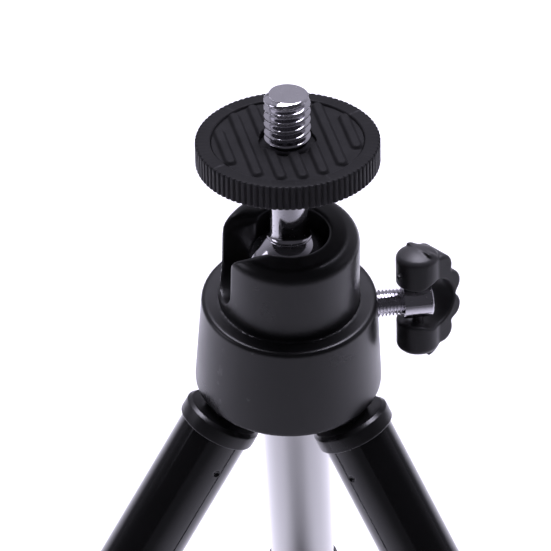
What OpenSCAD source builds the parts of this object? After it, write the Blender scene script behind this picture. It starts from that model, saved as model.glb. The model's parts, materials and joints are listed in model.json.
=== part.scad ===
// Pocket tripod with a small ball head: three telescopic legs that fold
// together, a clamped ball and a camera platform with a 1/4 inch stud.
// The table is the plane z = 0 and the head stands on the Z axis.

/* [Camera stud] */
// Outer diameter of the stud's thread
thread_d = 6.35; // [6:0.05:6.5]
// Height of the stud above the platform
stud_reach = 7.1; // [5:0.1:9]
// Diameter of the plain shank between ball and platform
shank_d = 5.4; // [4.8:0.1:5.6]
// Distance from the ball's centre to the platform's top
platform_reach = 20.3; // [19.5:0.1:22]
// Sideways lean of the stud as it stands, in degrees
stud_lean = 8.5; // [0:0.5:12]

/* [Platform] */
// Diameter over the platform's knurled rim
platform_d = 25.2; // [24:0.1:28]
// Thickness of the platform
platform_t = 3.6; // [3:0.1:4]
// Number of knurls around the rim
knurl_count = 90; // [60:1:100]
// Diameter of the rubber pad
pad_d = 20.8; // [19:0.1:22]
// Distance from one rib of the pad to the next
rib_pitch = 2.9; // [2.5:0.1:3.5]
// Angle of the pad's ribs around the stud, in degrees
rib_turn = 3; // [0:1:90]

/* [Head] */
// Diameter of the ball
ball_d = 11.6; // [11.5:0.1:11.8]
// Height of the ball's centre above the head's underside
ball_z = 20.2; // [20.1:0.1:20.5]
// Diameter of the head at its underside
head_base_d = 26; // [25.6:0.1:28]
// Diameter of the head at its shoulder
shoulder_d = 24.3; // [24:0.1:25]
// Height of the shoulder above the underside
shoulder_h = 14.5; // [14.2:0.1:15]
// Diameter of the neck around the ball
neck_d = 19.1; // [18.6:0.1:20]
// Height of the head
head_h = 26.5; // [26.3:0.1:27]
// Width of the slot that the shank drops into
slot_w = 7.2; // [7.2:0.1:7.8]
// Direction of the clamp screw around the head, in degrees
head_turn = 12; // [0:1:60]

/* [Clamp] */
// Outer diameter of the clamp screw's thread
screw_d = 3.9; // [3.6:0.1:4]
// Height of the clamp screw above the head's underside
screw_z = 11.5; // [11.4:0.1:11.6]
// Diameter of the clamp screw's round head
screw_head_d = 5; // [4.6:0.1:5.2]
// Height of the wing knob across its lobes
knob_h = 16.4; // [16:0.2:18]
// Thickness of the wing knob's lobed plate
knob_t = 5; // [4.6:0.1:5.6]
// Diameter of the knob's two blocks around the cross pin
block_d = 6; // [5.6:0.1:6.4]
// Angle of the knob around the screw, in degrees
knob_roll = -10; // [-180:1:180]
// Swing of the knob on its cross pin, in degrees
knob_swing = 32; // [-20:1:45]

/* [Legs] */
// Angle between each open leg and the vertical, in degrees
leg_splay = 31.7; // [28:0.1:33]
// Distance from each leg's hinge to the table, along the leg
leg_reach = 154; // [140:1:170]
// Diameter of the upper leg tubes
upper_d = 10; // [9.6:0.1:10]
// Diameter of the lower leg tubes
lower_d = 8; // [7:0.1:8]
// Wall of all leg tubes
tube_wall = 0.5; // [0.4:0.05:0.5]
// Diameter of the collar at the top of each leg
collar_d = 11.2; // [10.4:0.1:11.4]
// Diameter of the ring at the end of each upper tube
ferrule_d = 12; // [11.2:0.1:12]

/* [Hidden] */
$fn = 96;

// How far a cutting shape runs past what it cuts
past = 1;
// Radial clearance of a part that turns or slides in another
fit_gap = 0.05;

// Legs: three, with their hinges on a circle just inside the head
leg_count = 3;
first_leg = 90;
hinge_r = 7.1;
hinge_z = 1.62;
hinge_pin_d = 2;
hinge_pin_l = 14;
head_z = leg_reach * cos(leg_splay) - hinge_z;

// Distances along each leg from its hinge
collar_top = 5.4;
collar_end = 8;
plug_end = 15;
dimple_at = 12.6;
dimple_d = 1.2;
bush_top = 17;
bush_l = 10;
ferrule_top = leg_reach - 22;
upper_end = leg_reach - 16;
ferrule_end = leg_reach - 14;
foot_top = leg_reach - 12.8;
lower_end = leg_reach - 8;
foot_round_at = leg_reach - 4.8;

tongue_w = 4.6;
tongue_t = 4;
tongue_gap = 0.2;
foot_d = 11.6;
foot_top_d = 10.4;

// Hub that carries the hinges, and its screws
recess_h = 5.2;
recess_r = 11.2;
hub_r = 11;
hub_drop = 1;
hub_core_r = 3.4;
hub_screw_r = 8.8;
hub_screw_d = 2;
hub_screw_head_d = 3.8;
hub_screw_head_h = 1.3;
hub_screw_top = 8.7;

// Head: the ball is held under a lip and clamped from below
ball_r = ball_d / 2;
pocket_r = ball_r + fit_gap;
lip_r = 5.3;
lip_edge = 0.6;
foot_edge = 0.3;
shoulder_round = 1;
neck_round = 2;
neck_draft = 0.15;
slot_bottom_r = slot_w / 2;
slot_centre_z = ball_z - 1;
slot_flare = 1.6;

// Clamp: distances from the head's axis, outward along the screw
screw_in = 7;
screw_head_in = 15.7;
screw_head_out = 20.4;
knob_pin_at = 18.05;
knob_pin_d = 1.6;
knob_pin_l = 14;
plunger_d = 3.8;
plunger_cone = 30;
plunger_tip_d = 0.6;
plunger_shoulder = 3.6;
cup_bottom = 9.2;
cup_top = 16.3;
pad_r = 6.6;
pad_half_angle = 34;
wedge_gap = 0.06;
groove_in = 0.3;
groove_w = 4.2;
groove_roof = 14.1;

// Wing knob, about the centre of its cross pin
lobe_r = 2;
lobe_reach_x = 4.2;
lobe_angles = [90, 54, 18, -18, -54, -90];
eye_r = 3.6;
eye_x = 1;
throat_h = 5.8;
nub_d = 0.7;
nub_l = 0.6;
nub_z = 5;

// Stud, from the ball's centre outward
spigot_d = 4;
spigot_in = -3;
flare_d = 6.4;
flare_end = 6.3;
thread_top = platform_reach + stud_reach;
thread_chamfer = 0.6;
thread_relief = 0.4;
stud_neck_d = 5.8;
knurl_depth = 0.35;
pad_floor = 0.9;
pad_hole_d = 7.8;
rib_rise = 0.3;
rib_drop = 0.6;
rib_w = 1.2;
rib_count = 7;

// ---- Placing ----

module in_head() {
    translate([0, 0, head_z]) rotate([0, 0, head_turn]) children();
}

// Origin on the screw's axis at the head's axis, X out along the screw
module on_screw() {
    in_head() translate([0, 0, screw_z]) children();
}

// Lays a shape that stands on the origin along the screw
module along_screw(start) {
    on_screw() translate([start, 0, 0]) rotate([0, 90, 0]) children();
}

module on_knob_pin() {
    on_screw() rotate([knob_roll, 0, 0])
        translate([knob_pin_at, 0, 0]) rotate([0, 0, knob_swing]) children();
}

// Origin at the ball's centre, Z along the stud
module on_ball() {
    in_head() translate([0, 0, ball_z]) rotate([-stud_lean, 0, 0]) children();
}

// Origin at a leg's hinge, Z down along the leg, Y along its pin
module on_leg(k) {
    rotate([0, 0, first_leg + 360 / leg_count * k])
        translate([hinge_r, 0, head_z + hinge_z])
            rotate([0, 180 - leg_splay, 0]) children();
}

module tube(outer, inner, from, to) {
    difference() {
        translate([0, 0, from]) cylinder(d = outer, h = to - from);
        translate([0, 0, from - past]) cylinder(d = inner, h = to - from + 2 * past);
    }
}

module cross_pin(d, l) {
    rotate([90, 0, 0]) cylinder(d = d, h = l, center = true);
}

// ---- Head ----

module head_outline() {
    base_r = head_base_d / 2;
    top_r = shoulder_d / 2;
    neck_r = neck_d / 2;
    polygon([
        [0, 0], [base_r - foot_edge, 0], [base_r, foot_edge],
        [top_r, shoulder_h - shoulder_round], [top_r - shoulder_round, shoulder_h],
        [neck_r + neck_draft, shoulder_h], [neck_r, head_h - neck_round],
        [neck_r - neck_round, head_h], [0, head_h]
    ]);
    translate([top_r - shoulder_round, shoulder_h - shoulder_round]) circle(shoulder_round);
    translate([neck_r - neck_round, head_h - neck_round]) circle(neck_round);
}

// Hollow of the head: recess for the hub, bore and dome for the ball, mouth
module pocket() {
    rotate_extrude() {
        intersection() {
            translate([0, ball_z]) circle(pocket_r);
            translate([0, ball_z - past]) square([pocket_r, pocket_r + past]);
        }
        translate([0, -past]) square([pocket_r, ball_z + past]);
        translate([0, ball_z]) square([lip_r, head_h]);
        translate([0, -past]) square([recess_r, recess_h + past]);
    }
    translate([0, 0, head_h - lip_edge])
        cylinder(r1 = lip_r, r2 = lip_r + lip_edge + past, h = lip_edge + past);
}

// Slot seen from outside: round below, straight sides, flared at the top
module slot_outline() {
    half = slot_w / 2;
    bend = [for (a = [0:15:90])
        [half + slot_flare * (1 - cos(a)), head_h - slot_flare + slot_flare * sin(a)]];
    edge = concat([[half, slot_centre_z]], bend, [[half + slot_flare, head_h + past]]);
    translate([0, slot_centre_z]) circle(slot_bottom_r);
    polygon(concat(edge, [for (i = [len(edge) - 1:-1:0]) [-edge[i][0], edge[i][1]]]));
}

module head_housing() {
    color("#26262a") translate([0, 0, head_z]) difference() {
        rotate_extrude() head_outline();
        pocket();
        rotate([0, 0, head_turn]) {
            translate([-slot_bottom_r, 0, 0]) rotate([90, 0, -90])
                linear_extrude(neck_d) slot_outline();
            translate([pocket_r - past, 0, screw_z]) rotate([0, 90, 0])
                cylinder(d = screw_d + 2 * fit_gap, h = head_base_d);
        }
        hub_screw_places() cylinder(d = hub_screw_d, h = hub_screw_top + 2 * past);
    }
}

// Three places between the legs, starting under the hub
module hub_screw_places() {
    for (k = [0:leg_count - 1])
        rotate([0, 0, first_leg + 360 / leg_count * (k + 0.5)])
            translate([hub_screw_r, 0, -hub_drop - past]) children();
}

module leg_hub() {
    color("#1d1d20") translate([0, 0, head_z]) difference() {
        translate([0, 0, -hub_drop]) cylinder(r = hub_r, h = hub_drop + recess_h);
        for (k = [0:leg_count - 1]) rotate([0, 0, first_leg + 360 / leg_count * k]) {
            slot = tongue_t + 2 * tongue_gap;
            translate([hub_core_r, -slot / 2, -hub_drop - past])
                cube([hub_r, slot, hub_drop + recess_h + 2 * past]);
            translate([hinge_r, 0, hinge_z]) cross_pin(hinge_pin_d + fit_gap, 2 * hub_r);
        }
        hub_screw_places() {
            cylinder(d = hub_screw_d, h = hub_drop + recess_h + 2 * past);
            cylinder(d = hub_screw_head_d, h = past + hub_screw_head_h);
        }
    }
}

module hub_screws() {
    color("silver") translate([0, 0, head_z]) hub_screw_places() translate([0, 0, past]) {
        cylinder(d = hub_screw_head_d, h = hub_screw_head_h);
        cylinder(d = hub_screw_d, h = hub_drop + hub_screw_top);
    }
}

module hinge_pins() {
    color("silver") for (k = [0:leg_count - 1]) on_leg(k) cross_pin(hinge_pin_d, hinge_pin_l);
}

// ---- Clamp ----

// Cup that the plunger's cone wedges up under the ball
module brake_cup() {
    slope = tan(plunger_cone);
    tip_x = plunger_shoulder - (plunger_d - plunger_tip_d) / 2 / slope;
    tip_z = screw_z + plunger_tip_d / 2 + wedge_gap;
    color("goldenrod") in_head() difference() {
        translate([0, 0, cup_bottom]) cylinder(r = ball_r - 0.02, h = cup_top - cup_bottom);
        translate([0, 0, ball_z]) sphere(pad_r + fit_gap);
        rotate([90, 0, 0]) linear_extrude(groove_w, center = true) polygon([
            [groove_in, cup_bottom - past],
            [groove_in, tip_z + (groove_in - tip_x) * slope],
            [plunger_shoulder, tip_z + (plunger_shoulder - tip_x) * slope],
            [plunger_shoulder, groove_roof],
            [pocket_r + past, groove_roof],
            [pocket_r + past, cup_bottom - past]
        ]);
    }
}

module brake_plunger() {
    cone_l = (plunger_d - plunger_tip_d) / 2 / tan(plunger_cone);
    color("goldenrod") along_screw(0) rotate_extrude() polygon([
        [0, plunger_shoulder - cone_l], [plunger_tip_d / 2, plunger_shoulder - cone_l],
        [plunger_d / 2, plunger_shoulder], [plunger_d / 2, screw_in - fit_gap],
        [0, screw_in - fit_gap]
    ]);
}

module clamp_screw() {
    edge = 0.4;
    head_l = screw_head_out - screw_head_in;
    color("lightsteelblue") difference() {
        union() {
            along_screw(screw_in) cylinder(d = screw_d, h = screw_head_out - screw_in - edge);
            along_screw(screw_head_in) cylinder(d = screw_head_d, h = head_l - edge);
            along_screw(screw_head_out - edge)
                cylinder(d1 = screw_head_d, d2 = screw_head_d - 2 * edge, h = edge);
        }
        on_knob_pin() cylinder(d = knob_pin_d + fit_gap, h = screw_head_d + past, center = true);
    }
}

module knob_pin() {
    color("silver") on_knob_pin() cylinder(d = knob_pin_d, h = knob_pin_l, center = true);
}

// Lobed outline of the knob's plate
module knob_outline() {
    lobe_z = knob_h / 2 - lobe_r;
    core_x = lobe_reach_x + lobe_r / 2;
    core_z = lobe_z + lobe_r / 2;
    for (a = lobe_angles)
        translate([lobe_reach_x * cos(a), lobe_z * sin(a)]) circle(lobe_r);
    polygon([for (a = [-90:9:90]) [core_x * cos(a), core_z * sin(a)]]);
}

// Open eye of the knob, and the throat that leads the screw head into it
module knob_eye() {
    translate([eye_x, 0]) circle(eye_r);
    translate([-block_d, -throat_h / 2]) square([block_d + eye_x, throat_h]);
}

module wing_knob() {
    color("#222226") on_knob_pin() difference() {
        union() {
            intersection() {
                rotate([90, 0, 0]) linear_extrude(knob_t, center = true) knob_outline();
                translate([0, -knob_t / 2, -knob_h / 2]) cube([knob_h, knob_t, knob_h]);
            }
            cylinder(d = block_d, h = knob_h, center = true);
            translate([-block_d / 2 - nub_l, 0, nub_z]) rotate([0, 90, 0])
                cylinder(d = nub_d, h = nub_l + past);
        }
        rotate([90, 0, 0]) linear_extrude(2 * block_d, center = true) knob_eye();
        cylinder(d = knob_pin_d, h = knob_pin_l, center = true);
    }
}

// ---- Ball, stud and platform ----

// Friction pad between the cup and the ball
module ball_pad() {
    color("ivory") on_ball() difference() {
        intersection() {
            sphere(pad_r);
            translate([0, 0, -pad_r - past])
                cylinder(h = past + pad_r * (1 - cos(pad_half_angle)) + past,
                    r = pad_r * sin(pad_half_angle));
        }
        sphere(pocket_r);
    }
}

module ball() {
    color("gainsboro") on_ball() difference() {
        sphere(ball_r);
        translate([0, 0, spigot_in - past / 2])
            cylinder(d = spigot_d + fit_gap, h = ball_d);
    }
}

module stud() {
    under_platform = platform_reach - platform_t;
    thread_from = platform_reach + thread_relief;
    flare_from = sqrt(ball_r * ball_r - flare_d * flare_d / 4);
    color("gainsboro") on_ball() {
        translate([0, 0, spigot_in]) cylinder(d = spigot_d, h = flare_end - spigot_in);
        difference() {
            translate([0, 0, flare_from - past / 2])
                cylinder(d1 = flare_d, d2 = shank_d - 0.2, h = flare_end - flare_from + past / 2);
            sphere(ball_r + fit_gap / 2);
        }
        translate([0, 0, flare_end])
            cylinder(d1 = shank_d - 0.2, d2 = shank_d, h = under_platform - flare_end);
        translate([0, 0, under_platform])
            cylinder(d = stud_neck_d, h = thread_from - under_platform);
        translate([0, 0, thread_from])
            cylinder(d = thread_d, h = thread_top - thread_chamfer - thread_from);
        translate([0, 0, thread_top - thread_chamfer])
            cylinder(d1 = thread_d, d2 = thread_d - 2 * thread_chamfer, h = thread_chamfer);
    }
}

module platform() {
    rim_r = platform_d / 2;
    steps = 4 * knurl_count;
    color("#26262a") on_ball() translate([0, 0, platform_reach - platform_t]) difference() {
        linear_extrude(platform_t) polygon([for (i = [0:steps - 1])
            let (r = rim_r - (i % 4 < 2 ? 0 : knurl_depth))
                [r * cos(360 / steps * i), r * sin(360 / steps * i)]]);
        translate([0, 0, platform_t - pad_floor]) cylinder(d = pad_d, h = past + pad_floor);
        translate([0, 0, -past]) cylinder(d = stud_neck_d, h = platform_t + 2 * past);
    }
}

module rubber_pad() {
    color("#333336") on_ball() translate([0, 0, platform_reach - pad_floor]) difference() {
        intersection() {
            cylinder(d = pad_d, h = pad_floor + rib_rise);
            union() {
                cylinder(d = pad_d, h = pad_floor + rib_rise - rib_drop);
                rotate([0, 0, rib_turn]) for (i = [0:rib_count - 1])
                    translate([(i - (rib_count - 1) / 2) * rib_pitch - rib_w / 2, -pad_d / 2, 0])
                        cube([rib_w, pad_d, pad_floor + rib_rise]);
            }
        }
        translate([0, 0, -past]) cylinder(d = pad_hole_d, h = pad_floor + rib_rise + 2 * past);
    }
}

// ---- Legs ----

module leg_cap(k) {
    edge = 0.3;
    color("#202024") on_leg(k) difference() {
        union() {
            translate([-tongue_w / 2, -tongue_t / 2, 0]) cube([tongue_w, tongue_t, collar_top + edge]);
            cross_pin(tongue_w, tongue_t);
            rotate_extrude() polygon([
                [0, collar_top], [collar_d / 2 - edge, collar_top],
                [collar_d / 2, collar_top + edge], [collar_d / 2, collar_end - edge],
                [collar_d / 2 - edge, collar_end], [upper_d / 2 - tube_wall, collar_end],
                [upper_d / 2 - tube_wall, plug_end], [0, plug_end]
            ]);
        }
        cross_pin(hinge_pin_d + fit_gap, tongue_t + past);
    }
}

module upper_tube(k) {
    color("#111114") on_leg(k) difference() {
        tube(upper_d, upper_d - 2 * tube_wall, collar_end, upper_end);
        for (side = [-1, 1])
            translate([0, side * (upper_d + dimple_d / 2) / 2, dimple_at]) sphere(d = dimple_d);
    }
}

module ferrule(k) {
    edge = 0.5;
    color("#202024") on_leg(k) difference() {
        rotate_extrude() polygon([
            [0, ferrule_top], [ferrule_d / 2 - edge, ferrule_top],
            [ferrule_d / 2, ferrule_top + edge], [ferrule_d / 2, ferrule_end - edge],
            [ferrule_d / 2 - edge, ferrule_end], [0, ferrule_end]
        ]);
        translate([0, 0, ferrule_top - past]) cylinder(d = upper_d, h = upper_end - ferrule_top + past);
        translate([0, 0, ferrule_top]) cylinder(d = lower_d + 2 * fit_gap, h = leg_reach);
    }
}

module lower_tube(k) {
    color("silver") on_leg(k) tube(lower_d, lower_d - 2 * tube_wall, bush_top, lower_end);
}

module slide_bush(k) {
    color("ivory") on_leg(k)
        tube(upper_d - 2 * tube_wall - 2 * fit_gap, lower_d, bush_top, bush_top + bush_l);
}

// Round-ended rubber foot with a sole worn flat on the table
module foot(k) {
    color("#1a1a1c") difference() {
        on_leg(k) difference() {
            union() {
                translate([0, 0, foot_top])
                    cylinder(d1 = foot_top_d, d2 = foot_d, h = foot_round_at - foot_top);
                translate([0, 0, foot_round_at]) sphere(d = foot_d);
            }
            translate([0, 0, foot_top - past]) cylinder(d = lower_d, h = lower_end - foot_top + past);
            translate([0, 0, foot_top - foot_d]) cylinder(d = foot_d, h = foot_d);
        }
        translate([-leg_reach, -leg_reach, -foot_d]) cube([2 * leg_reach, 2 * leg_reach, foot_d]);
    }
}

head_housing();
leg_hub();
hub_screws();
hinge_pins();
brake_cup();
brake_plunger();
clamp_screw();
knob_pin();
wing_knob();
ball_pad();
ball();
stud();
platform();
rubber_pad();
leg_cap(0);  // leg_cap_1
leg_cap(1);  // leg_cap_2
leg_cap(2);  // leg_cap_3
upper_tube(0);  // upper_tube_1
upper_tube(1);  // upper_tube_2
upper_tube(2);  // upper_tube_3
ferrule(0);  // ferrule_1
ferrule(1);  // ferrule_2
ferrule(2);  // ferrule_3
lower_tube(0);  // lower_tube_1
lower_tube(1);  // lower_tube_2
lower_tube(2);  // lower_tube_3
slide_bush(0);  // slide_bush_1
slide_bush(1);  // slide_bush_2
slide_bush(2);  // slide_bush_3
foot(0);  // foot_1
foot(1);  // foot_2
foot(2);  // foot_3
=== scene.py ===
"""Looks of a pocket tripod with a ball head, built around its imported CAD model.

Shapes are worked out in millimetres in a local frame of each part, then placed in metres
with the joints' own positions and axes. Three kinds of mesh are made here: lathed shapes,
lathed shapes with a screw thread or knurls, and smooth solids from a distance function.
"""

import json
import math

import bmesh
import bpy
import numpy as np
from mathutils import Matrix, Vector


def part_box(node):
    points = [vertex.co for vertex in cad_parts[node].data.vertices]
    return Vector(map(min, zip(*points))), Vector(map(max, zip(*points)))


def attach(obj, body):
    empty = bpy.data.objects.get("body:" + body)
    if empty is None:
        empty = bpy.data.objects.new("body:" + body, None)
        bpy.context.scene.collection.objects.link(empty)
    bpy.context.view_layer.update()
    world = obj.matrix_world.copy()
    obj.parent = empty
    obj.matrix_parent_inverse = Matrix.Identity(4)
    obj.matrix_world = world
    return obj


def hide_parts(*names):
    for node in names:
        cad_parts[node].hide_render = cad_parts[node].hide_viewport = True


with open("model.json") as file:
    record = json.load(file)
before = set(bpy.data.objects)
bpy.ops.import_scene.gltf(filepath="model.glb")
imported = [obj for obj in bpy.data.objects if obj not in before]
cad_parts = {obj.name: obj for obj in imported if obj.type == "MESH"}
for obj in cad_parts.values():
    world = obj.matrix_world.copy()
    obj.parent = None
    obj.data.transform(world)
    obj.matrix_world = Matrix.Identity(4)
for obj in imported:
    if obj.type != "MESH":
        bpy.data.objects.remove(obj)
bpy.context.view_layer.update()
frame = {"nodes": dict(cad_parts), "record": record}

MM = 0.001
TAU = 2 * math.pi
UP = np.array([0.0, 0.0, 1.0])

# ---- The frame's own axes, in millimetres ----


def joint(name):
    """A joint of the record, as (position in mm or None, unit axis)."""
    found = next(j for j in frame["record"]["behaviour"]["joints"] if j["name"] == name)
    axis = np.array(found["axis"], float)
    place = np.array(found["pos_m"], float) / MM if "pos_m" in found else None
    return place, axis / np.linalg.norm(axis)


def placed(origin, z_axis, x_hint):
    """The 4 by 4 matrix from a local frame in mm to the row frame in metres."""
    z = z_axis / np.linalg.norm(z_axis)
    x = x_hint - z * np.dot(x_hint, z)
    x /= np.linalg.norm(x)
    m = np.eye(4)
    m[:3, 0], m[:3, 1], m[:3, 2], m[:3, 3] = x * MM, np.cross(z, x) * MM, z * MM, origin * MM
    return m


BALL, SCREW_AXIS = joint("ball_swing")
STUD_AXIS = joint("stud_spin")[1]
SCREW_AT = joint("knob_turn")[0]
PIN_AT, PIN_AXIS = joint("knob_fold")
HEAD_LOW, HEAD_HIGH = (np.array(c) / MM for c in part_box("head_housing"))
HEAD_AT = np.array([0.0, 0.0, HEAD_LOW[2]])
KNOB_SWING = math.radians(32)

IN_HEAD = placed(HEAD_AT, UP, SCREW_AXIS)
ON_BALL = placed(BALL, STUD_AXIS, SCREW_AXIS)
ON_SCREW = placed(SCREW_AT, SCREW_AXIS, UP)
ON_PIN = placed(PIN_AT, PIN_AXIS, SCREW_AXIS) @ np.array(Matrix.Rotation(KNOB_SWING, 4, "Z"))


def on_leg(i):
    """Local frame of leg i: origin at its hinge, Z down the leg, Y along the hinge pin."""
    hinge, pin = joint(f"leg_fold_{i}")
    down = joint(f"leg_slide_{i}")[1]
    return placed(hinge, down, np.cross(pin, down))


# ---- Sizes, in millimetres ----

HEAD_H = HEAD_HIGH[2] - HEAD_LOW[2]
BASE_R = (HEAD_HIGH[0] - HEAD_LOW[0]) / 2
SHOULDER_R, SHOULDER_H = 12.15, 14.5
NECK_R, NECK_DRAFT = 9.55, 0.15
BALL_Z = BALL[2] - HEAD_AT[2]
BALL_R = 5.8
MOUTH_R = 5.3
SLOT_HALF = 3.6
SCREW_Z = SCREW_AT[2] - HEAD_AT[2]
SCREW_R = 1.95
FIT_GAP = 0.05
RECESS_R, RECESS_H = 11.2, 5.2
HEAD_ROUND = 2.0
SPIGOT_R, SPIGOT_IN = 2.0, 3.0
PLATFORM_TOP, PLATFORM_T, PLATFORM_R = 20.3, 3.6, 12.6
PLATFORM_BOTTOM = PLATFORM_TOP - PLATFORM_T
PAD_R, PAD_FLOOR, PAD_RISE, PAD_HOLE_R = 10.4, 0.9, 0.30, 3.9
SHANK_R, STUD_NECK_R = 2.68, 2.9
THREAD_R, THREAD_TOP, THREAD_PITCH, THREAD_CHAMFER = 3.175, 27.4, 25.4 / 20, 0.62
TUBE_R, TUBE_BORE_R, TUBE_TOP = 5.0, 4.5, 8.0
LOWER_R, LOWER_BORE_R = 4.0, 3.5
LEG_REACH = -joint("leg_fold_1")[0][2] / joint("leg_slide_1")[1][2]
TUBE_END, LOWER_END = LEG_REACH - 16, LEG_REACH - 8

# ---- Meshes ----


def arc(centre, radius, start, end, steps):
    """Points of a round corner, from angle start to angle end in degrees."""
    angles = np.radians(np.linspace(start, end, steps + 1))
    return [(centre[0] + radius * math.cos(a), centre[1] + radius * math.sin(a)) for a in angles]


def rounded(corners, steps=6):
    """A profile whose corners (r, z, fillet) are rounded by their fillets."""
    points = []
    for i, (r, z, fillet) in enumerate(corners):
        here = np.array([r, z])
        if not fillet:
            points.append((r, z))
            continue
        before = np.array(corners[i - 1][:2]) - here
        after = np.array(corners[(i + 1) % len(corners)][:2]) - here
        before /= np.linalg.norm(before)
        after /= np.linalg.norm(after)
        half = math.acos(np.clip(np.dot(before, after), -1, 1)) / 2
        cut = fillet / math.tan(half)
        middle = (before + after) / np.linalg.norm(before + after) * fillet / math.sin(half)
        one, two = before * cut - middle, after * cut - middle
        for t in np.linspace(0, 1, steps + 1):
            spoke = one * (1 - t) + two * t
            p = here + middle + spoke / np.linalg.norm(spoke) * fillet
            points.append((p[0], p[1]))
    return points


def lathe(profile, segments, shape=None):
    """Revolves a profile of (r, z) about Z. shape(r, z, angle) may move the radius."""
    r, z = (np.array(v, float) for v in zip(*profile))
    angle = np.arange(segments) * TAU / segments
    rr, zz, aa = np.broadcast_arrays(r[:, None], z[:, None], angle[None, :])
    if shape:
        rr = shape(rr, zz, aa)
    verts = np.stack([rr * np.cos(aa), rr * np.sin(aa), zz], -1)
    rows = len(profile)
    index = np.arange(rows * segments).reshape(rows, segments)
    right = np.roll(index, -1, 1)
    quads = np.stack([index[:-1], right[:-1], right[1:], index[1:]], -1).reshape(-1, 4)
    return verts.reshape(-1, 3), quads


def closed_lathe(profile, segments, shape=None):
    """A lathed ring whose profile closes on itself."""
    return lathe(list(profile) + [profile[0]], segments, shape)


def grid_net(distance, low, high, step):
    """Quads around the zero level of a distance function, one vertex per crossed cell."""
    axes = [np.arange(lo - step, hi + 2 * step, step) for lo, hi in zip(low, high)]
    x, y, z = np.meshgrid(*axes, indexing="ij")
    inside = distance(x, y, z) < 0
    cells = np.zeros(np.array(inside.shape) - 1, int)
    for dx in (0, 1):
        for dy in (0, 1):
            for dz in (0, 1):
                nx, ny, nz = inside.shape
                cells += inside[dx:nx - 1 + dx, dy:ny - 1 + dy, dz:nz - 1 + dz]
    crossed = (cells > 0) & (cells < 8)
    number = np.full(cells.shape, -1)
    number[crossed] = np.arange(crossed.sum())
    at = np.argwhere(crossed)
    verts = np.stack([axes[k][at[:, k]] + step / 2 for k in range(3)], -1)
    quads = []
    for k in range(3):
        first, second = [v for v in range(3) if v != k]
        edge = np.argwhere(np.diff(inside.astype(int), axis=k) != 0)
        edge = edge[(edge[:, first] > 0) & (edge[:, second] > 0)]
        leaving = inside[tuple(edge.T)]
        shift = np.zeros((4, 3), int)
        shift[1, first] = shift[2, first] = shift[2, second] = shift[3, second] = -1
        quad = np.stack([number[tuple((edge + s).T)] for s in shift], -1)
        flip = leaving if k == 1 else ~leaving
        quad[flip] = quad[flip][:, ::-1]
        quads.append(quad)
    return verts, np.concatenate(quads)


def pull_to_surface(distance, verts, step, rounds=8):
    """Moves points down the distance's slope onto its zero level, a little at a time."""
    eps = step * 0.05
    for _ in range(rounds):
        x, y, z = verts.T
        d = distance(x, y, z)
        slope = np.stack([
            distance(x + eps, y, z) - distance(x - eps, y, z),
            distance(x, y + eps, z) - distance(x, y - eps, z),
            distance(x, y, z + eps) - distance(x, y, z - eps),
        ], -1) / (2 * eps)
        size = np.maximum((slope ** 2).sum(-1), 0.2)
        verts = verts - slope * (np.clip(d, -step, step) / size)[:, None]
    return verts


def relax(verts, quads, rounds=2):
    """Evens the spacing of a net's points."""
    for _ in range(rounds):
        total = np.zeros_like(verts)
        count = np.zeros(len(verts))
        for k in range(4):
            a, b = quads[:, k], quads[:, (k + 1) % 4]
            for p, q in ((a, b), (b, a)):
                np.add.at(total, p, verts[q])
                np.add.at(count, p, 1)
        verts = verts * 0.5 + total / count[:, None] * 0.5
    return verts


def solid(distance, low, high, step):
    """A closed smooth mesh of the zero level of a distance function."""
    verts, quads = grid_net(distance, low, high, step)
    verts = pull_to_surface(distance, verts, step, 4)
    verts = relax(verts, quads)
    return pull_to_surface(distance, verts, step), quads


def round_join(a, b, r):
    """Union of two distances with a fillet of radius r."""
    return np.maximum(np.minimum(a, b), r) - np.hypot(np.maximum(r - a, 0), np.maximum(r - b, 0))


def round_cut(a, b, r):
    """Intersection of two distances with an edge radius of r."""
    return np.minimum(np.maximum(a, b), -r) + np.hypot(np.maximum(a + r, 0), np.maximum(b + r, 0))


# ---- Pieces ----


def piece(name, mesh_data, matrix, body, material, stands_for=()):
    """Makes a smooth-shaded object from one mesh or several, and puts it in the frame."""
    parts = mesh_data if isinstance(mesh_data, list) else [mesh_data]
    verts, faces, start = [], [], 0
    for v, f in parts:
        verts.append(v)
        faces.append(f + start)
        start += len(v)
    verts = np.concatenate(verts)
    verts = verts @ matrix[:3, :3].T + matrix[:3, 3]
    mesh = bpy.data.meshes.new(name)
    mesh.from_pydata(verts.tolist(), [], [q for f in faces for q in f.tolist()])
    mesh.validate()
    obj = bpy.data.objects.new(name, mesh)
    bpy.context.scene.collection.objects.link(obj)
    tidy_mesh(mesh)
    mesh.materials.append(material)
    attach(obj, body)
    if stands_for:
        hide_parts(*stands_for)
    return obj


def tidy_mesh(mesh, weld=1e-7, crease_deg=38):
    """Welds double points, closes caps, turns normals outward and shades smooth."""
    bm = bmesh.new()
    bm.from_mesh(mesh)
    bmesh.ops.remove_doubles(bm, verts=bm.verts, dist=weld)
    bmesh.ops.dissolve_degenerate(bm, edges=bm.edges, dist=weld)
    bmesh.ops.recalc_face_normals(bm, faces=bm.faces)
    for face in bm.faces:
        face.smooth = True
    limit = math.radians(crease_deg)
    for edge in bm.edges:
        edge.smooth = edge.calc_face_angle(0) < limit
    bm.to_mesh(mesh)
    bm.free()


# ---- Materials ----


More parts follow.
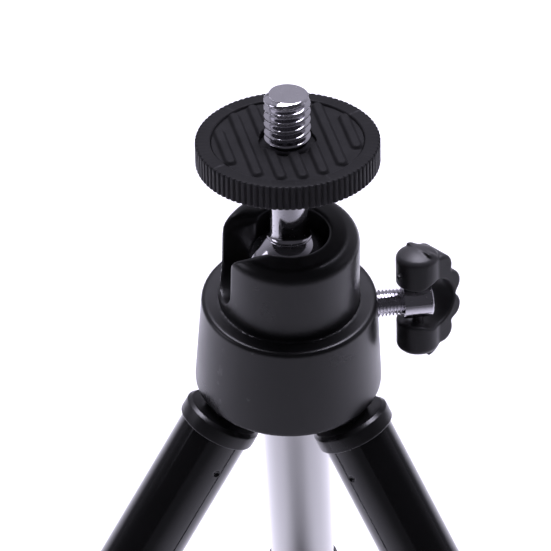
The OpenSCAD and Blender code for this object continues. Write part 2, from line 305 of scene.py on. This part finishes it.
class Nodes:
    """Short names for building one material's nodes."""

    def __init__(self, name):
        self.material = bpy.data.materials.new(name)
        self.material.use_nodes = True
        self.tree = self.material.node_tree
        self.shader = self.tree.nodes["Principled BSDF"]

    def feed(self, sockets, values):
        """Links each socket to its value's node, or sets it where the value is a plain one."""
        for socket, value in zip(sockets, values):
            if isinstance(value, bpy.types.NodeSocket):
                self.tree.links.new(value, socket)
            else:
                socket.default_value = value

    def add(self, kind, inputs=None, **settings):
        node = self.tree.nodes.new(kind)
        for key, value in settings.items():
            setattr(node, key, value)
        inputs = inputs or {}
        self.feed([node.inputs[key] for key in inputs], inputs.values())
        return node

    def set(self, **values):
        self.feed([self.shader.inputs[key.replace("_", " ")] for key in values], values.values())

    def place(self):
        return self.add("ShaderNodeTexCoord").outputs["Object"]

    def noise(self, scale, detail=3.0, roughness=0.55):
        inputs = {"Vector": self.place(), "Scale": scale, "Detail": detail, "Roughness": roughness}
        return self.add("ShaderNodeTexNoise", inputs).outputs["Fac"]

    def span(self, value, low, high, start=0.0, end=1.0):
        node = self.add("ShaderNodeMapRange", {
            "Value": value, "From Min": low, "From Max": high, "To Min": start, "To Max": end})
        return node.outputs["Result"]

    def mix(self, factor, one, two):
        node = self.add("ShaderNodeMix", data_type="RGBA")
        self.feed([node.inputs[i] for i in (0, 6, 7)], (factor, one, two))
        return node.outputs[2]

    def math(self, operation, one, two=0.0):
        node = self.add("ShaderNodeMath", operation=operation)
        self.feed(node.inputs, (one, two))
        return node.outputs[0]

    def bump(self, height, strength, distance):
        inputs = {"Height": height, "Strength": strength, "Distance": distance}
        return self.add("ShaderNodeBump", inputs).outputs["Normal"]

    def wear(self):
        """One on convex edges, from the surface's pointiness, broken up by noise."""
        edge = self.add("ShaderNodeNewGeometry").outputs["Pointiness"]
        mask = self.span(edge, 0.53, 0.62)
        return self.math("MULTIPLY", mask, self.span(self.noise(900.0), 0.35, 0.7))


def grey(level, tint=(1.0, 1.0, 1.0)):
    return (level * tint[0], level * tint[1], level * tint[2], 1.0)


COOL = (1.0, 0.985, 1.03)


def coated(name, level, roughness, grain=2600.0, bump=0.06, worn=None, side=None, **extra):
    """Black paint or plastic: fine grain, uneven sheen, dust specks, paler worn edges, and sides
    painted paler as painted light.
    """
    n = Nodes(name)
    patch = n.noise(140.0, 4.0)
    fine = n.noise(grain, 2.0)
    base = n.mix(patch, grey(level * 0.75, COOL), grey(level * 1.25, COOL))
    # side: painted light, a paler colour on surfaces that face sideways, picked by the tilt of the
    # normal
    if side:
        normal = n.add("ShaderNodeTexCoord").outputs["Normal"]
        upright = n.add("ShaderNodeSeparateXYZ", {"Vector": normal})
        flat = n.span(n.math("ABSOLUTE", upright.outputs["Z"]), 0.3, 0.8)
        base = n.mix(flat, grey(side, COOL), base)
    if worn:
        base = n.mix(n.math("MULTIPLY", n.wear(), 0.5), base, grey(worn, COOL))
    speck = n.span(n.noise(5200.0, 1.0), 0.74, 0.80)
    base = n.mix(n.math("MULTIPLY", speck, 0.12), base, grey(0.18))
    rough = n.span(patch, 0.3, 0.7, roughness * 0.88, roughness * 1.12)
    n.set(Base_Color=base, Roughness=rough, Normal=n.bump(fine, bump, 0.00005), **extra)
    return n.material


def plated(name, level, roughness):
    """Bright plate: faint haze, grain and tiny pits."""
    n = Nodes(name)
    haze = n.noise(420.0, 5.0)
    pits = n.span(n.noise(3800.0, 2.0), 0.62, 0.75)
    base = n.mix(haze, grey(level * 0.88, COOL), grey(level, COOL))
    base = n.mix(n.math("MULTIPLY", pits, 0.5), base, grey(level * 0.45))
    smooth = n.span(haze, 0.3, 0.75, roughness * 0.7, roughness * 1.3)
    rough = n.math("ADD", smooth, n.math("MULTIPLY", pits, 0.25))
    height = n.math("ADD", n.noise(2200.0, 3.0), n.math("MULTIPLY", pits, -1.0))
    n.set(Base_Color=base, Metallic=1.0, Roughness=rough, Normal=n.bump(height, 0.08, 0.00003))
    return n.material


def moulded_rubber(name, level):
    """Black rubber with patches of dust."""
    n = Nodes(name)
    dust = n.noise(260.0, 6.0, 0.7)
    base = n.mix(n.span(dust, 0.35, 0.75), grey(level * 0.75, COOL), grey(level * 1.35, COOL))
    fine = n.noise(3600.0, 3.0)
    n.set(Base_Color=base, Roughness=n.span(dust, 0.3, 0.7, 0.52, 0.7), Specular_IOR_Level=0.12,
          Normal=n.bump(fine, 0.18, 0.00006))
    return n.material


def nylon(name):
    """Uncoloured nylon that lets a little light in."""
    n = Nodes(name)
    patch = n.noise(300.0, 3.0)
    base = n.mix(patch, (0.70, 0.66, 0.55, 1), (0.80, 0.77, 0.68, 1))
    n.set(Base_Color=base, Roughness=n.span(patch, 0.3, 0.7, 0.35, 0.5), Subsurface_Weight=0.1,
          Normal=n.bump(n.noise(2400.0), 0.1, 0.00005))
    n.shader.inputs["Subsurface Radius"].default_value = (0.001, 0.0008, 0.0005)
    return n.material


def turned_brass(name):
    """Brass with a light tarnish."""
    n = Nodes(name)
    tarnish = n.noise(240.0, 5.0)
    base = n.mix(tarnish, (0.62, 0.42, 0.16, 1), (0.84, 0.64, 0.30, 1))
    n.set(Base_Color=base, Metallic=1.0, Roughness=n.span(tarnish, 0.3, 0.7, 0.22, 0.4),
          Normal=n.bump(n.noise(2000.0), 0.1, 0.00005))
    return n.material


PAINT = coated("satin_black_paint", 0.010, 0.30, worn=0.10)
HUB_PLASTIC = coated("hub_plastic", 0.012, 0.42, grain=1800.0, bump=0.1, worn=0.06)
CAP_PLASTIC = coated("cap_plastic", 0.010, 0.30, grain=1500.0, bump=0.05, worn=0.06)
# side=0.058 paints light onto the platform's knurled rim and other sideways faces
PLATFORM_PLASTIC = coated("platform_plastic", 0.012, 0.45, grain=1900.0, bump=0.12, worn=0.07,
                          side=0.058, Specular_IOR_Level=0.12)
KNOB_PLASTIC = coated("knob_plastic", 0.030, 0.42, grain=1700.0, bump=0.12, worn=0.09)
LACQUER = coated("tube_lacquer", 0.004, 0.10, grain=900.0, bump=0.02,
                 Coat_Weight=0.35, Coat_Roughness=0.05)
CHROME = plated("bright_plate", 0.78, 0.09)
TUBE_PLATE = plated("tube_plate", 0.74, 0.14)
STEEL = plated("zinc_steel", 0.55, 0.28)
BRASS = turned_brass("turned_brass")
PAD_RUBBER = moulded_rubber("pad_rubber", 0.014)
FOOT_RUBBER = moulded_rubber("foot_rubber", 0.012)
NYLON = nylon("natural_nylon")


# ---- Head ----


def head_distance(x, y, z):
    """Housing: conical base, rounded neck, pocket for the ball, slot and screw hole."""
    r = np.hypot(x, y)
    slope = (BASE_R - SHOULDER_R) / SHOULDER_H
    base = round_cut((r - BASE_R + slope * z), z - SHOULDER_H, 0.6)
    base = round_cut(base, -z, 0.3)
    draft = NECK_DRAFT * (HEAD_H - z) / (HEAD_H - SHOULDER_H)
    neck = round_cut(np.maximum(r - NECK_R - draft, -z), z - HEAD_H, HEAD_ROUND)
    body = round_join(base, neck, 0.2)
    bore = np.maximum(r - BALL_R - FIT_GAP, z - BALL_Z)
    dome = np.hypot(r, z - BALL_Z) - BALL_R - FIT_GAP
    mouth = np.maximum(r - MOUTH_R, BALL_Z - z)
    recess = np.maximum(r - RECESS_R, z - RECESS_H)
    hollow = np.minimum(np.minimum(bore, dome), np.minimum(mouth, recess))
    body = round_cut(body, -hollow, 0.45)
    centre = BALL_Z - 1.0
    channel = np.where(z > centre, np.abs(y), np.hypot(y, z - centre)) - SLOT_HALF
    flare = 1.2 + 1.6 * np.clip((r - MOUTH_R) / (NECK_R - MOUTH_R), 0, 1)
    opening = np.maximum(-round_cut(z - HEAD_H, -channel, flare), x)
    body = round_cut(body, -opening, 0.32)
    hole = np.maximum(np.hypot(y, z - SCREW_Z) - SCREW_R - FIT_GAP, BALL_R - x)
    return round_cut(body, -hole, 0.2)


def make_head():
    reach = BASE_R + 0.5
    mesh = solid(head_distance, (-reach, -reach, -0.5), (reach, reach, HEAD_H + 0.5), 0.26)
    piece("head_shell", mesh, IN_HEAD, "head", PAINT, ["head_housing"])


# ---- Threads and turned parts ----


def thread_shape(major, pitch, start, end, runout):
    """Radius of a right-hand 60 degree thread between two heights, fading at start and end."""
    depth = 0.6134 * pitch
    fading = runout * pitch

    def shape(r, z, angle):
        turn = np.mod(z / pitch - angle / TAU, 1.0)
        ridge = np.clip((np.abs(turn - 0.5) * 2 - 0.12) / 0.70, 0, 1)
        ridge = ridge * ridge * (3 - 2 * ridge) * 0.35 + ridge * 0.65
        fade = np.clip((z - start) / fading, 0, 1) * np.clip((end - z) / fading, 0, 1)
        cut = major - depth * ridge * fade
        return np.where((z > start) & (z < end), np.minimum(r, cut), r)

    return shape


def steps_between(r, low, high, step):
    """Profile points up a straight wall."""
    return [(r, z) for z in np.arange(low, high, step)]


def make_stud():
    """The threaded stud with its flared foot, and the ball that it stands on."""
    thread_low, flare_low = PLATFORM_TOP + 0.4, 5.1
    profile = [(0, -SPIGOT_IN), (SPIGOT_R, -SPIGOT_IN)]
    profile += [(SPIGOT_R, 5.46), (2.6, 5.22), (3.1, 4.94), (3.18, 5.0), (3.14, 5.08)]
    for a in np.radians(np.linspace(8, 90, 9)):
        profile.append((SHANK_R + 0.46 * (1 - math.sin(a)), flare_low + 1.1 * (1 - math.cos(a))))
    profile += [(SHANK_R, PLATFORM_BOTTOM), (STUD_NECK_R, PLATFORM_BOTTOM + 0.05)]
    profile += [(STUD_NECK_R, thread_low - 0.02)]
    profile += steps_between(THREAD_R, thread_low, THREAD_TOP - THREAD_CHAMFER, THREAD_PITCH / 28)
    profile += arc((THREAD_R - THREAD_CHAMFER - 0.1, THREAD_TOP - 0.62), 0.62, 10, 84, 10)
    face = THREAD_TOP - 0.02
    profile += [(THREAD_R - THREAD_CHAMFER - 0.25, THREAD_TOP), (0.8, face), (0, face)]
    shape = thread_shape(THREAD_R, THREAD_PITCH, thread_low - 0.01, THREAD_TOP + THREAD_PITCH, 0.4)
    stud = lathe(profile, 192, shape)
    piece("threaded_stud", stud, ON_BALL, "camera_plate", CHROME, ["stud"])
    angles = np.linspace(-math.pi / 2, 1.2, 72)
    profile = [(BALL_R * math.cos(a), BALL_R * math.sin(a)) for a in angles]
    profile[0] = (0, -BALL_R)
    floor = -SPIGOT_IN - FIT_GAP
    profile += [(SPIGOT_R + 0.05, profile[-1][1] - 0.1), (SPIGOT_R + 0.03, floor), (0, floor)]
    ball = lathe(profile, 128)
    piece("polished_ball", ball, ON_BALL, "ball_joint", CHROME, ["ball"])


def make_clamp_screw():
    """The clamp screw: a fine thread, a plain round head and a crowned end."""
    low, head_low, head_high, head_r = 7.0, 15.7, 20.4, 2.5
    pitch, crown, crown_r = 0.5, 6.0, 2.05
    profile = [(0, low), (1.5, low), (SCREW_R, low + 0.4)]
    profile += steps_between(SCREW_R, low + 0.45, head_low - 0.1, pitch / 14)
    profile += rounded([
        (1.6, head_low, 0), (head_r, head_low, 0.25), (head_r, head_high - 0.45, 0.3),
        (crown_r, head_high - 0.36, 0)])
    for r in np.linspace(crown_r - 0.1, 0, 8):
        profile.append((r, head_high - crown + math.sqrt(crown ** 2 - r ** 2)))
    shape = thread_shape(SCREW_R, pitch, low, head_low + 0.2, 0.5)
    screw = lathe(profile, 96, shape)
    piece("clamp_screw_thread", screw, ON_SCREW, "screw", CHROME, ["clamp_screw"])


# ---- Platform and pad ----


def make_platform():
    """The platform: a disc with a knurled rim and a shallow seat for the pad."""
    low, high = PLATFORM_BOTTOM, PLATFORM_TOP
    teeth, depth, band = 90, 0.26, 0.45
    seat_r, seat_z = PAD_R + 0.12, PLATFORM_TOP - PAD_FLOOR

    def knurl(r, z, angle):
        wave = 0.5 - 0.5 * np.cos(angle * teeth)
        groove = np.clip((wave - 0.45) / 0.5, 0, 1)
        inward = np.clip((r - PLATFORM_R + band) / band, 0, 1)
        return r - depth * groove * inward

    profile = rounded([
        (STUD_NECK_R, low, 0), (4.4, low, 0), (4.7, low + 0.3, 0),
        (PLATFORM_R - 1.0, low + 0.3, 0.2), (PLATFORM_R - 0.6, low, 0.15),
        (PLATFORM_R, low, 0.22), (PLATFORM_R, high, 0.3),
        (seat_r, high, 0.15), (seat_r, seat_z, 0), (STUD_NECK_R, seat_z, 0)], 4)
    wall = [i for i, p in enumerate(profile) if p[0] > PLATFORM_R - 0.001]
    rows = [(PLATFORM_R, z) for z in np.linspace(low + 0.4, high - 0.5, 4)]
    profile = profile[:wall[0] + 1] + rows + profile[wall[-1]:]
    mesh = closed_lathe(profile, teeth * 8, knurl)
    piece("knurled_platform", mesh, ON_BALL, "camera_plate", PLATFORM_PLASTIC,
          ["platform"])


def pad_distance(x, y, z):
    """Pad: a thin disc with straight, round-ended ribs and a hole for the stud."""
    rib_angle, pitch, height, half_w = math.radians(3), 2.9, 0.6, 0.5
    r = np.hypot(x, y)
    across = x * math.cos(rib_angle) + y * math.sin(rib_angle)
    along = y * math.cos(rib_angle) - x * math.sin(rib_angle)
    rib = np.round(across / pitch) * pitch
    half_l = np.sqrt(np.maximum((PAD_R - 0.9) ** 2 - rib ** 2, 0))
    to_rib = np.hypot(np.maximum(np.abs(along) - half_l, 0), across - rib)
    top = PLATFORM_TOP + PAD_RISE
    ribs = round_cut(z - top, (to_rib - half_w) * 0.82 + (z - top) * 0.5, 0.16)
    floor = z - (top - height)
    body = round_join(floor, ribs, 0.12)
    body = round_cut(body, r - PAD_R, 0.15)
    body = np.maximum(body, PLATFORM_TOP - PAD_FLOOR - z)
    return round_cut(body, PAD_HOLE_R - r, 0.15)


def make_pad():
    reach = PAD_R + 0.3
    low, high = PLATFORM_TOP - PAD_FLOOR - 0.2, PLATFORM_TOP + PAD_RISE * 2
    mesh = solid(pad_distance, (-reach, -reach, low), (reach, reach, high), 0.15)
    piece("ribbed_pad", mesh, ON_BALL, "camera_plate", PAD_RUBBER, ["rubber_pad"])


# ---- Wing knob ----


def knob_distance(x, y, z):
    """Yoke: a lobed plate with an open eye, on two round blocks about the cross pin."""
    half_h, half_t, lobe, block_r, crown = 8.2, 2.5, 2.0, 3.0, 0.11
    core_r, core_h, eye_x, eye_r, throat_half = 5.2, 7.2, 1.0, 3.6, 2.9
    nub_z, nub_r, nub_out = 5.0, 0.34, 3.6
    outline = np.full(x.shape, 1e3)
    for a in (90, 54, 18, -18, -54, -90):
        cx, cz = 4.2 * math.cos(math.radians(a)), (half_h - lobe) * math.sin(math.radians(a))
        outline = round_join(outline, np.hypot(x - cx, z - cz) - lobe, 0.25)
    core = np.hypot(x, z * core_r / core_h) - core_r
    outline = round_join(outline, core, 0.25)
    plate = round_cut(np.maximum(outline, -x), np.abs(y) - half_t, 0.55)
    around = np.hypot(x, y)
    block = round_cut(around - block_r, np.abs(z) - half_h + crown * around ** 2, 0.5)
    body = round_join(plate, block, 0.2)
    throat = np.maximum(np.abs(z) - throat_half, x - eye_x)
    eye = round_join(np.hypot(x - eye_x, z) - eye_r, throat, 0.3)
    body = round_cut(body, -eye, 0.35)
    nub = np.maximum(np.hypot(y, z - nub_z) - nub_r, np.maximum(-x - nub_out, x))
    return np.minimum(body, nub)


def make_knob():
    mesh = solid(knob_distance, (-3.8, -3.2, -8.4), (6.4, 3.2, 8.4), 0.14)
    piece("lobed_knob", mesh, ON_PIN, "knob", KNOB_PLASTIC, ["wing_knob"])


# ---- Legs ----


def dimpled(r, z, angle):
    """Two small staking dimples, opposite each other along the hinge pin."""
    dimple_z, dimple_r, depth = 12.6, 0.55, 0.34
    for side in (0.25, 0.75):
        along = (angle / TAU - side) * TAU * TUBE_R
        away = np.hypot(along, z - dimple_z)
        dent = depth * np.clip(1 - (away / dimple_r) ** 2, 0, 1)
        r = np.where(r > TUBE_R - 0.1, r - dent, r)
    return r


def make_leg(i):
    """One leg: collar with its tongue, upper tube, end ring, lower tube and foot."""
    matrix = on_leg(i)
    upper, lower = f"leg_{i}", f"lower_leg_{i}"
    collar_low, collar_r, plug_end = 5.4, 5.6, 15.0
    collar = lathe(rounded([
        (0, collar_low, 0), (4.6, collar_low, 0.0), (5.1, collar_low, 0.25),
        (collar_r, collar_low + 0.5, 0.3), (collar_r, TUBE_TOP, 0.28), (TUBE_BORE_R, TUBE_TOP, 0),
        (TUBE_BORE_R, plug_end, 0.3), (0, plug_end, 0)]), 128)
    tongue = solid(tongue_distance, (-2.4, -2.1, -2.4), (2.4, 2.1, 6.0), 0.2)
    piece(f"leg_collar_{i}", [collar, tongue], matrix, upper, CAP_PLASTIC,
          [f"leg_cap_{i}"])
    profile = [(TUBE_BORE_R, TUBE_TOP), (TUBE_R - 0.1, TUBE_TOP), (TUBE_R, TUBE_TOP + 0.1)]
    profile += steps_between(TUBE_R, 11.8, 13.45, 0.09)
    profile += [(TUBE_R, z) for z in np.linspace(14, TUBE_END, 24)]
    profile += [(TUBE_BORE_R, TUBE_END)]
    tube = closed_lathe(profile, 256, dimpled)
    piece(f"lacquered_tube_{i}", tube, matrix, upper, LACQUER, [f"upper_tube_{i}"])
    top, end, seat = LEG_REACH - 22, LEG_REACH - 14, TUBE_END
    ring_r, groove_r, bore_r = 6.0, 5.75, LOWER_R + FIT_GAP
    ring = closed_lathe(rounded([
        (TUBE_R, top, 0), (5.5, top, 0.25), (ring_r, top + 0.8, 0.4), (ring_r, top + 2.4, 0.15),
        (groove_r, top + 2.65, 0.1), (groove_r, top + 3.1, 0.1), (ring_r, top + 3.35, 0.15),
        (ring_r, end, 0.6), (bore_r, end, 0.2), (bore_r, seat, 0), (TUBE_R, seat, 0)], 5), 96)
    piece(f"end_ring_{i}", ring, matrix, upper, CAP_PLASTIC, [f"ferrule_{i}"])
    inner = closed_lathe([
        (LOWER_BORE_R, 17), (LOWER_R - 0.1, 17), (LOWER_R, 17.1), (LOWER_R, 70),
        (LOWER_R, LOWER_END), (LOWER_BORE_R, LOWER_END)], 96)
    piece(f"plated_tube_{i}", inner, matrix, lower, TUBE_PLATE,
          [f"lower_tube_{i}"])
    low, ball_z, ball_r, rings_z = LEG_REACH - 12.8, LEG_REACH - 4.8, 5.8, LEG_REACH - 8.6
    normal = np.linalg.inv(matrix[:3, :3]) @ UP
    normal /= np.linalg.norm(normal)
    height = float(matrix[2, 3] / MM)

    def foot_distance(x, y, z):
        """Rubber foot: tapered cap with grip rings, round end, sole flat on the table."""
        r = np.hypot(x, y)
        taper = ball_r + 0.6 * (np.clip((z - low) / (ball_z - low), 0, 1) - 1)
        rings = 0.16 * (0.5 + 0.5 * np.cos((z - rings_z) * TAU / 1.7)) ** 2
        rings = rings * (np.abs(z - rings_z) < 2.6)
        side = np.where(z < ball_z, r - taper + rings, np.hypot(r, z - ball_z) - ball_r)
        body = round_cut(side, low - z, 0.35)
        above = normal[0] * x + normal[1] * y + normal[2] * z + height
        body = round_cut(body, -above, 0.3)
        inside = np.maximum(r - LOWER_R, z - LOWER_END)
        return np.maximum(body, -inside)

    foot = solid(foot_distance, (-6.1, -6.1, LEG_REACH - 13.1), (6.1, 6.1, LEG_REACH + 2), 0.24)
    piece(f"rubber_foot_{i}", foot, matrix, lower, FOOT_RUBBER, [f"foot_{i}"])


def tongue_distance(x, y, z):
    """Flat tongue with a round end and the hinge pin's hole."""
    end_r, half_t, root, hole_r = 2.3, 2.0, 5.6, 1.03
    bar = np.where(z < 0, np.hypot(x, z), np.abs(x)) - end_r
    bar = round_cut(bar, np.abs(y) - half_t, 0.25)
    bar = np.maximum(bar, z - root)
    return np.maximum(bar, hole_r - np.hypot(x, z))


# ---- CAD nodes that stay as they are ----

KEPT = {
    "leg_hub": HUB_PLASTIC, "hub_screws": STEEL, "hinge_pins": STEEL, "brake_cup": BRASS,
    "brake_plunger": BRASS, "knob_pin": STEEL, "ball_pad": NYLON,
    "slide_bush_1": NYLON, "slide_bush_2": NYLON, "slide_bush_3": NYLON,
}


def finish_kept_nodes():
    for node, material in KEPT.items():
        obj = frame["nodes"][node]
        for place in obj.material_slots:
            place.material = material


# ---- Floor, light and camera ----

CAMERA_DISTANCE = 800.0
CAMERA_LIFT = math.radians(42.17)
CAMERA_TURN = math.radians(2.1)
CAMERA_YAW, CAMERA_PITCH, CAMERA_ROLL = (math.radians(v) for v in (-0.188, -0.985, 0.59))
CAMERA_LENS = 374.3
LIGHT_TINT = (0.95, 0.92, 1.10)


def turned(v, angle):
    """A vector turned about Z."""
    c, s = math.cos(angle), math.sin(angle)
    return np.array([c * v[0] - s * v[1], s * v[0] + c * v[1], v[2]])


def make_camera():
    data = bpy.data.cameras.new("camera")
    data.lens, data.sensor_width, data.clip_start, data.clip_end = CAMERA_LENS, 36.0, 0.05, 20.0
    camera = bpy.data.objects.new("camera", data)
    bpy.context.scene.collection.objects.link(camera)
    flat, rise = CAMERA_DISTANCE * math.cos(CAMERA_LIFT), CAMERA_DISTANCE * math.sin(CAMERA_LIFT)
    place = HEAD_AT + turned(np.array([0, -flat, rise]), CAMERA_TURN)
    dip = CAMERA_LIFT + CAMERA_PITCH
    s, c = math.sin(CAMERA_YAW), math.cos(CAMERA_YAW)
    ahead = np.array([s * math.cos(dip), c * math.cos(dip), -math.sin(dip)])
    right = np.array([c, -s, 0.0])
    above = np.cross(right, ahead)
    c, s = math.cos(CAMERA_ROLL), math.sin(CAMERA_ROLL)
    right, above = c * right + s * above, c * above - s * right
    columns = [turned(v, CAMERA_TURN) for v in (right, above, -ahead)]
    m = np.eye(4)
    m[:3, :3] = np.array(columns).T
    m[:3, 3] = place * MM
    camera.matrix_world = Matrix(m.tolist())
    bpy.context.scene.camera = camera


def softbox(name, place, aim, size, watts, spread=180):
    """A rectangular lamp aimed at a point, sizes in metres."""
    data = bpy.data.lights.new(name, "AREA")
    data.spread = math.radians(spread)
    data.shape, data.size, data.size_y = "RECTANGLE", size[0], size[1]
    data.energy, data.color = watts, LIGHT_TINT
    light = bpy.data.objects.new(name, data)
    bpy.context.scene.collection.objects.link(light)
    way = Vector(aim) - Vector(place)
    light.rotation_euler = way.to_track_quat("-Z", "Y").to_euler()
    light.location = place


def make_floor():
    half = 3.0
    mesh = bpy.data.meshes.new("floor")
    corners = [(-half, -half, 0), (half, -half, 0), (half, half, 0), (-half, half, 0)]
    mesh.from_pydata(corners, [], [(0, 1, 2, 3)])
    floor = bpy.data.objects.new("floor", mesh)
    bpy.context.scene.collection.objects.link(floor)
    n = Nodes("pale_floor")
    n.set(Base_Color=n.mix(n.noise(3.0), grey(0.86), grey(0.88)), Roughness=0.6)
    mesh.materials.append(n.material)


def make_light():
    """A dim room, brighter behind the object than in front of it, and three softboxes."""
    world = bpy.data.worlds.new("studio")
    world.use_nodes = True
    tree = world.node_tree
    direction = tree.nodes.new("ShaderNodeTexCoord")
    split = tree.nodes.new("ShaderNodeSeparateXYZ")
    ramp = tree.nodes.new("ShaderNodeMapRange")
    ramp.interpolation_type = "SMOOTHSTEP"
    for key, value in {"From Min": -0.25, "From Max": 0.85, "To Min": 0.05, "To Max": 0.40}.items():
        ramp.inputs[key].default_value = value
    background = tree.nodes["Background"]
    background.inputs["Color"].default_value = (*LIGHT_TINT, 1.0)
    tree.links.new(direction.outputs["Generated"], split.inputs["Vector"])
    tree.links.new(split.outputs["Y"], ramp.inputs["Value"])
    tree.links.new(ramp.outputs["Result"], background.inputs["Strength"])
    bpy.context.scene.world = world
    bpy.context.scene.view_settings.view_transform = "Standard"
    top = HEAD_HIGH[2] * MM
    softbox("over_table", (0.0, 0.30, 0.80), (0.0, 0.24, 0.0), (0.7, 0.4), 3.0, 80)
    softbox("left_box", (-0.6, -0.05, 0.35), (0.0, 0.0, top * 0.8), (0.3, 0.3), 0.40)
    softbox("right_box", (0.6, 0.05, 0.35), (0.0, 0.0, top * 0.8), (0.3, 0.3), 0.06)


make_camera()
make_head()
make_stud()
make_clamp_screw()
make_platform()
make_pad()
make_knob()
for leg in (1, 2, 3):
    make_leg(leg)
finish_kept_nodes()
make_floor()
make_light()
